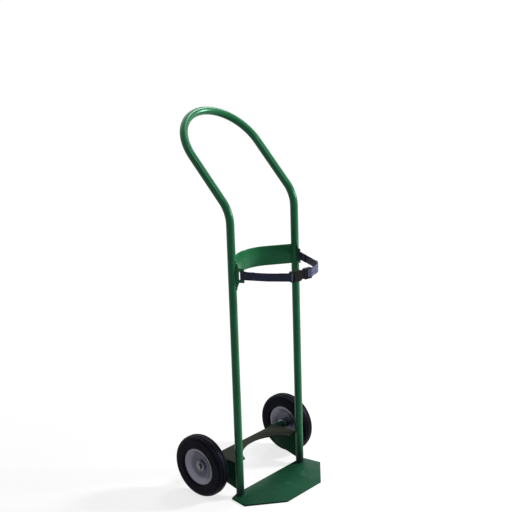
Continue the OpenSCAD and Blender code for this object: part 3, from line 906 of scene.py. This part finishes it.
class TROLLEY_OT_frame(bpy.types.Operator):
    """Paints the tubes and makes the plates with rounded edges"""

    bl_idname = "trolley.frame"
    bl_label = "Frame and plates"

    def execute(self, context):
        colours, sizes, _ = settings(context)
        # The tubes darken to near-black towards their feet.
        tubes = {"base": colours.tube_green, "dirt_colour": colours.foot_dark, "dust_top": 0.12}
        plates = {"base": colours.plate_green, "dirt_colour": colours.grime_and_shade, "dust_top": 0.1}
        tube = gloss_paint("tube paint", colours, gloss=0.35, threshold=0.66, near_floor_strength=2.6, **tubes)
        plate = gloss_paint("plate paint", colours, gloss=0.05, threshold=0.6, **plates)
        # Saddle: heavy grime cover, partly real grime and partly painted shade, the load's shadow on it.
        grimy_and_shaded = gloss_paint("saddle paint", colours, gloss=0.08, threshold=0.58, grime_and_shade=0.93, **plates)
        paint_nodes(tube, "left_upright", "right_upright", "handle")
        paint_nodes(plate, "left_spacer", "right_spacer")
        softened = {
            "toe_plate": plate,
            "saddle_plate": grimy_and_shaded,
            "left_side_plate": plate,
            "right_side_plate": plate,
            "upper_cradle": tube,
            "left_strap_lug": tube,
            "right_strap_lug": tube,
        }
        for node, paint in softened.items():
            piece = softened_copy(node, f"{node}_painted", sizes.plate_round)
            slot = "frame_paint" if paint == tube else "plate_paint"
            dress(piece, paint, "frame", slot, node)
        return {"FINISHED"}


class TROLLEY_OT_welds(bpy.types.Operator):
    """Lays the weld beads that hold the frame together"""

    bl_idname = "trolley.welds"
    bl_label = "Welds"

    def execute(self, context):
        _, sizes, _ = settings(context)
        tube = bpy.data.materials["tube paint"]
        plate = bpy.data.materials["plate paint"]
        pitch = sizes.weld_pitch
        proud = 0.6 * MM
        sunk = 0.8 * MM
        side_start = SIDE_LOW.z + 3 * MM
        saddle_start = SADDLE_LOW.y + 4 * MM
        behind = UPRIGHT_Y + math.sqrt(TUBE_R ** 2 - (PLATE_T / 2) ** 2)
        for name, side in SIDES.items():
            x = side * UPRIGHT_X
            inner = side * (UPRIGHT_X - PLATE_T / 2)
            sides = []
            for face_x in (x - PLATE_T / 2, x + PLATE_T / 2):
                sides += line_path((face_x, behind, side_start), (face_x, behind, SIDE_HIGH.z), pitch)
            saddle_end = (inner, AXLE_Y - AXLE_R, SADDLE_LOW.z)
            saddle = line_path((inner, saddle_start, SADDLE_LOW.z), saddle_end, pitch)
            saddle += ring_path((inner, AXLE_Y, AXLE_Z), AXLE_R + proud, "X", pitch)
            beads = {
                "foot_weld": (ring_path((x, UPRIGHT_Y, TUBE_LOW.z), TUBE_R + proud, "Z", pitch), plate),
                "handle_seam": (ring_path((x, UPRIGHT_Y, BEND_FOOT), TUBE_R - sunk, "Z", pitch), tube),
                "side_plate_weld": (sides, plate),
                "saddle_weld": (saddle, plate),
                "lug_weld": (root_lines(f"{name}_strap_lug", side, pitch), tube),
                "cradle_weld": (root_lines("upper_cradle", side, pitch), tube),
            }
            for bead, (path, paint) in beads.items():
                radius = sizes.seam_r if bead == "handle_seam" else sizes.weld_r
                weld(f"{name}_{bead}", path, radius, pitch, paint)
        return {"FINISHED"}


class TROLLEY_OT_tyres(bpy.types.Operator):
    """Turns the two solid rubber tyres"""

    bl_idname = "trolley.tyres"
    bl_label = "Tyres"

    def execute(self, context):
        colours, sizes, _ = settings(context)
        rubber = tyre_rubber(colours)
        outline = self.section(sizes)
        for name in SIDES:
            centre = Vector(JOINTS[f"{name}_wheel_spin"]["pos_m"])
            piece = turned_ring(f"{name}_tyre_rubber", outline, centre)
            dress(piece, rubber, f"{name}_wheel", "rubber", f"{name}_tyre")
        return {"FINISHED"}

    def section(self, sizes):
        """Section of the tyre: bead, ringed sidewall, shoulder, crown and two grooves."""
        half_w = TYRE_W / 2
        seat = RIM_R - sizes.lip_h
        bead = RIM_R + 0.3 * MM
        crown = (TYRE_R - sizes.crown_r, 0)
        shoulder_side = half_w - sizes.shoulder_r
        shoulder_out = math.sqrt((sizes.crown_r - sizes.shoulder_r) ** 2 - shoulder_side ** 2)
        shoulder = (crown[0] + shoulder_out, shoulder_side)
        crown_end = math.degrees(math.atan2(shoulder_side, shoulder_out))
        half = [Vector((seat, sizes.rim_w / 2)), Vector((bead, sizes.rim_w / 2))]
        half += arc((bead + sizes.bead_r, half_w - sizes.bead_r), sizes.bead_r, 180, 90, 8)
        half += self.sidewall_ring(71 * MM, half_w, rise=0.7 * MM)
        half += self.sidewall_ring(80 * MM, half_w, rise=-0.6 * MM)
        half += arc(shoulder, sizes.shoulder_r, 90, crown_end, 14)
        outer = (sizes.groove_spacing + sizes.groove_w) / 2
        inner = (sizes.groove_spacing - sizes.groove_w) / 2
        lip = 0.4 * MM
        outer_end = math.degrees(math.asin((outer + lip) / sizes.crown_r))
        inner_end = math.degrees(math.asin((inner - lip) / sizes.crown_r))
        groove_floor = TYRE_R - sizes.groove_depth
        wall_top = groove_floor + sizes.groove_depth * 0.85
        half += arc(crown, sizes.crown_r, crown_end - 1, outer_end, 4)
        half += [Vector((wall_top, outer)), Vector((groove_floor, outer - lip))]
        half += [Vector((groove_floor, inner + lip)), Vector((wall_top, inner))]
        half += arc(crown, sizes.crown_r, inner_end, 0, 6)
        return half + [Vector((point.x, -point.y)) for point in reversed(half[:-1])]

    def sidewall_ring(self, radius, side, rise):
        """Section of a raised or sunk ring in the sidewall."""
        width = 1.6 * MM
        steps = 3
        ring = []
        for k in range(steps + 1):
            part = k / steps
            ring.append(Vector((radius + width * part, side + rise * math.sin(math.pi * part))))
        return ring


class TROLLEY_OT_rims(bpy.types.Operator):
    """Turns the pressed halves of the rims, and their hub welds"""

    bl_idname = "trolley.rims"
    bl_label = "Rims"

    def execute(self, context):
        colours, sizes, _ = settings(context)
        enamel = rim_enamel(colours, sizes)
        for name, side in SIDES.items():
            body = f"{name}_wheel"
            centre = Vector(JOINTS[f"{name}_wheel_spin"]["pos_m"])
            for half, away in (("outer", side), ("inner", -side)):
                outline = [(p.x, away * p.y) for p in self.section(sizes)]
                piece = turned_ring(f"{name}_{half}_rim_pressing", outline, centre)
                dress(piece, enamel, body, "rim_paint", f"{name}_{half}_rim")
                fillet = [(p.x, away * p.y) for p in self.hub_fillet(sizes)]
                bead = turned_ring(f"{name}_{half}_hub_weld", fillet, centre, steps=96)
                dress(bead, enamel, body, "rim_paint")
            paint_nodes(enamel, f"{name}_hub")
        return {"FINISHED"}

    def section(self, sizes):
        """Section of one half: flat middle, swaged ring, dish, seat and rolled lip."""
        sheet = sizes.rim_sheet
        seat = RIM_R - sizes.lip_h
        inside = seat - sheet
        lip = sizes.rim_w / 2
        low = sizes.dish_hub
        top = low + sheet
        flat = sizes.dish_flat_r
        corners = [
            (HUB_R, low, 0),
            *self.swage(low),
            (flat, low, 6 * MM),
            (inside, lip - sizes.dish_edge, 1 * MM),
            (inside, 0, 0),
            (seat, 0, 0),
            (seat, lip, 0.8 * MM),
            (RIM_R, lip, 0.7 * MM),
            (RIM_R, lip + sheet, 0.9 * MM),
            (inside, lip + sheet, 6 * MM),
            (flat, top, 14 * MM),
            *reversed(self.swage(top)),
            (HUB_R, top, 0),
        ]
        return rounded_outline(corners)

    def swage(self, level):
        """Corners of the stiffening ring round the hub, on one face of the sheet."""
        start = HUB_R + 6 * MM
        rise = 1.6 * MM
        fold = 1.5 * MM
        return [
            (start, level, fold),
            (start + 2.5 * MM, level + rise, fold),
            (start + 5 * MM, level, fold),
        ]

    def hub_fillet(self, sizes):
        """Section of the weld between the disc and the hub."""
        outside = sizes.dish_hub + sizes.rim_sheet
        leg = 1.8 * MM
        sunk = 0.4 * MM
        corners = [
            (HUB_R - sunk, outside - sunk, 0),
            (HUB_R + leg, outside - sunk, 0),
            (HUB_R + leg * 0.6, outside + leg * 0.6, 0.8 * MM),
            (HUB_R - sunk, outside + leg, 0),
        ]
        return rounded_outline(corners)


class TROLLEY_OT_axle(bpy.types.Operator):
    """Gives the axle, its washers and pins, and the bushes their metal"""

    bl_idname = "trolley.axle"
    bl_label = "Axle and bushes"

    def execute(self, context):
        colours, _, _ = settings(context)
        zinc = bare_metal("zinc plate", colours.zinc, rough=0.26)
        bronze = bare_metal("sintered bronze", colours.bronze, rough=0.4)
        for node in ("axle", "inner_washers", "outer_washers"):
            piece = softened_copy(node, f"{node}_plated", SMALL_ROUND)
            dress(piece, zinc, "frame", "zinc", node)
        paint_nodes(zinc, "split_pins")
        for name in SIDES:
            paint_nodes(bronze, f"{name}_outer_bush", f"{name}_inner_bush")
        return {"FINISHED"}


class TROLLEY_OT_webbing(bpy.types.Operator):
    """Lays the webbing of the strap and sews its ends"""

    bl_idname = "trolley.webbing"
    bl_label = "Webbing and stitches"

    def execute(self, context):
        colours, sizes, _ = settings(context)
        cloth = webbing_cloth("navy webbing", colours, sheen=1)
        # Painted shade: a copy of the webbing with little sheen, for the inside faces that the load would
        # shade.
        rubbed = webbing_cloth("rubbed webbing", colours, sheen=0.06)
        thread = sewing_thread(colours)
        for name in SIDES:
            node = f"{name}_strap"
            low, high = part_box(node)
            route = Route(strap_path(node, sizes.webbing_t))
            strip = webbing_strip(f"{name}_webbing", route, low.z, high.z, sizes.webbing_t)
            dress(strip, cloth, "frame", "webbing", node)
            self.shade_inside(strip, rubbed)
            places = []
            for middle in (sizes.sewn_len / 2, route.length - sizes.sewn_len / 2):
                side = self.layer_side(route, middle, sizes)
                if side:
                    places += self.stitches(route, middle, low.z, high.z, sizes, side)
            thread_size = (sizes.stitch_len / 2, sizes.stitch_r, sizes.stitch_r)
            seed = small_ball(thread_size, segments=8, rings=5)
            stitches = placed_copies(f"{name}_stitches", seed, places)
            dress(stitches, thread, "frame", "webbing")
        return {"FINISHED"}

    def shade_inside(self, strip, rubbed):
        """Second material, the shaded copy of the webbing, as painted shade on the faces that lie against
        the load, which stands at the origin.
        """
        strip.data.materials.append(rubbed)
        for face in strip.data.polygons:
            face.material_index = int(face.normal.xy.dot(face.center.xy) < 0)

    def layer_side(self, route, distance, sizes):
        """Side on which another layer of the webbing lies: 1 for left, -1 for right, 0 for none."""
        here = route.point(distance)
        out = route.left(distance)
        reach = 2 * sizes.webbing_t
        far = 20 * MM
        samples = 600
        places = [route.length * k / samples for k in range(samples + 1)]
        others = [route.point(place) - here for place in places if abs(place - distance) > far]
        close = [gap.dot(out) for gap in others if gap.length < reach]
        if not close:
            return 0
        return 1 if sum(close) > 0 else -1

    def stitches(self, route, middle, low, high, sizes, side):
        """Places of the stitches of a box with a cross in it, on both faces of a sewn end."""
        edge = 3 * MM
        half = sizes.sewn_len / 2 - 2 * MM
        first, last = middle - half, middle + half
        bottom, top = low + edge, high - edge
        lines = [
            ((first, bottom), (last, bottom)),
            ((first, top), (last, top)),
            ((first, bottom), (first, top)),
            ((last, bottom), (last, top)),
            ((first, bottom), (last, top)),
            ((first, top), (last, bottom)),
        ]
        inner = sizes.webbing_t / 2
        outer = inner + sizes.webbing_t + 0.3 * MM
        places = []
        for (d1, z1), (d2, z2) in lines:
            count = max(2, round(math.hypot(d2 - d1, z2 - z1) / (sizes.stitch_len * 1.25)))
            for k in range(count):
                t = (k + 0.5) / count
                distance = d1 + (d2 - d1) * t
                out = route.left(distance).to_3d() * side
                spot = route.point(distance).to_3d() + UP * (z1 + (z2 - z1) * t)
                drift = route.drift(distance) / (2 * route.STEP)
                along = drift.to_3d() * (d2 - d1) + UP * (z2 - z1)
                places.append(facing(spot + out * outer, along, out))
                places.append(facing(spot - out * inner, along, out))
        return places


class TROLLEY_OT_buckle(bpy.types.Operator):
    """Moulds the side-release buckle and its latch arms"""

    bl_idname = "trolley.buckle"
    bl_label = "Buckle"

    def execute(self, context):
        colours, sizes, _ = settings(context)
        plastic = moulded_plastic(colours)
        pieces = {
            "buckle_socket": "frame",
            "buckle_plug": "frame",
            "upper_latch_arm": "upper_latch",
            "lower_latch_arm": "lower_latch",
        }
        for node, body in pieces.items():
            width = sizes.plastic_round if body == "frame" else SMALL_ROUND
            piece = softened_copy(node, f"{node}_moulded", width)
            if node == "buckle_socket":
                self.recess(piece, sizes)
            dress(piece, plastic, body, "plastic", node)
        for name, side in (("upper", 1), ("lower", -1)):
            ribs = self.grip_ribs(f"{name}_latch_arm", side, sizes)
            dress(ribs, plastic, f"{name}_latch", "plastic")
        return {"FINISHED"}

    def recess(self, piece, sizes):
        """Shallow panel let into the front of the socket, clear of the slot for the webbing."""
        slot_end = self.largest_face(piece, -BUCKLE_AHEAD).center + 0.5 * MM * BUCKLE_AHEAD
        self.edit_front(piece)
        bpy.ops.mesh.bisect(plane_co=slot_end, plane_no=BUCKLE_AHEAD)
        self.edit_front(piece)
        bpy.ops.mesh.inset(thickness=sizes.panel_margin, depth=0)
        bpy.ops.mesh.inset(thickness=sizes.panel_depth, depth=-sizes.panel_depth)
        close_mesh(piece)

    def largest_face(self, piece, direction):
        """Largest of the flat faces that point in a direction."""
        faces = [face for face in piece.data.polygons if face.normal.dot(direction) > ALIGNED]
        return max(faces, key=lambda face: face.area)

    def edit_front(self, piece):
        """Edit mode with only the largest face on the buckle's front selected."""
        open_mesh(piece)
        bpy.ops.mesh.select_mode(type="FACE")
        bpy.ops.mesh.select_all(action="DESELECT")
        bpy.ops.object.mode_set(mode="OBJECT")
        self.largest_face(piece, BUCKLE_OUT).select = True
        bpy.ops.object.mode_set(mode="EDIT")

    def grip_ribs(self, node, side, sizes):
        """Ribs across the pad of a latch arm that the fingers press."""
        low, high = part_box(node)
        pad_z = high.z if side > 0 else low.z
        corners = [vertex.co for vertex in frame["nodes"][node].data.vertices]
        pad = [corner for corner in corners if abs(corner.z - pad_z) < 0.05 * MM]
        along = [corner.dot(BUCKLE_AHEAD) for corner in pad]
        depth = [corner.dot(BUCKLE_OUT) for corner in pad]
        start, run = min(along), max(along) - min(along)
        middle = (min(depth) + max(depth)) / 2
        half_depth = 0.42 * (max(depth) - min(depth))
        count = round(run / sizes.rib_pitch)
        seed = small_ball((half_depth, 0.3 * sizes.rib_pitch, sizes.rib_h))
        places = []
        for k in range(count):
            distance = start + run * (k + 0.5) / count
            spot = BUCKLE_AHEAD * distance + BUCKLE_OUT * middle + UP * pad_z
            places.append(facing(spot, BUCKLE_OUT, UP * side))
        return placed_copies(f"{node}_grip_ribs", seed, places)


class TROLLEY_PT_panel(bpy.types.Panel):
    """Sidebar panel with the trolley's steps"""

    bl_idname = "TROLLEY_PT_panel"
    bl_label = "Hand Trolley"
    bl_space_type = "VIEW_3D"
    bl_region_type = "UI"
    bl_category = "Trolley"

    def draw(self, context):
        """Lists the operators in the order in which they are used."""
        for operator in OPERATORS:
            self.layout.operator(operator.bl_idname)


OPERATORS = (
    TROLLEY_OT_stage,
    TROLLEY_OT_frame,
    TROLLEY_OT_welds,
    TROLLEY_OT_tyres,
    TROLLEY_OT_rims,
    TROLLEY_OT_axle,
    TROLLEY_OT_webbing,
    TROLLEY_OT_buckle,
)
GROUPS = {
    "trolley_colours": TrolleyColours,
    "trolley_sizes": TrolleySizes,
    "trolley_stage": TrolleyStage,
}
CLASSES = (*GROUPS.values(), *OPERATORS, TROLLEY_PT_panel)


def register():
    """Registers the settings, the operators and the panel."""
    for kind in CLASSES:
        bpy.utils.register_class(kind)
    for name, kind in GROUPS.items():
        setattr(bpy.types.Scene, name, bpy.props.PointerProperty(type=kind))


def unregister():
    """Removes what register added."""
    for name in GROUPS:
        delattr(bpy.types.Scene, name)
    for kind in reversed(CLASSES):
        bpy.utils.unregister_class(kind)


def main():
    """Dresses the trolley."""
    register()
    for operator in OPERATORS:
        group, name = operator.bl_idname.split(".")
        getattr(getattr(bpy.ops, group), name)()


if __name__ == "__main__":
    main()
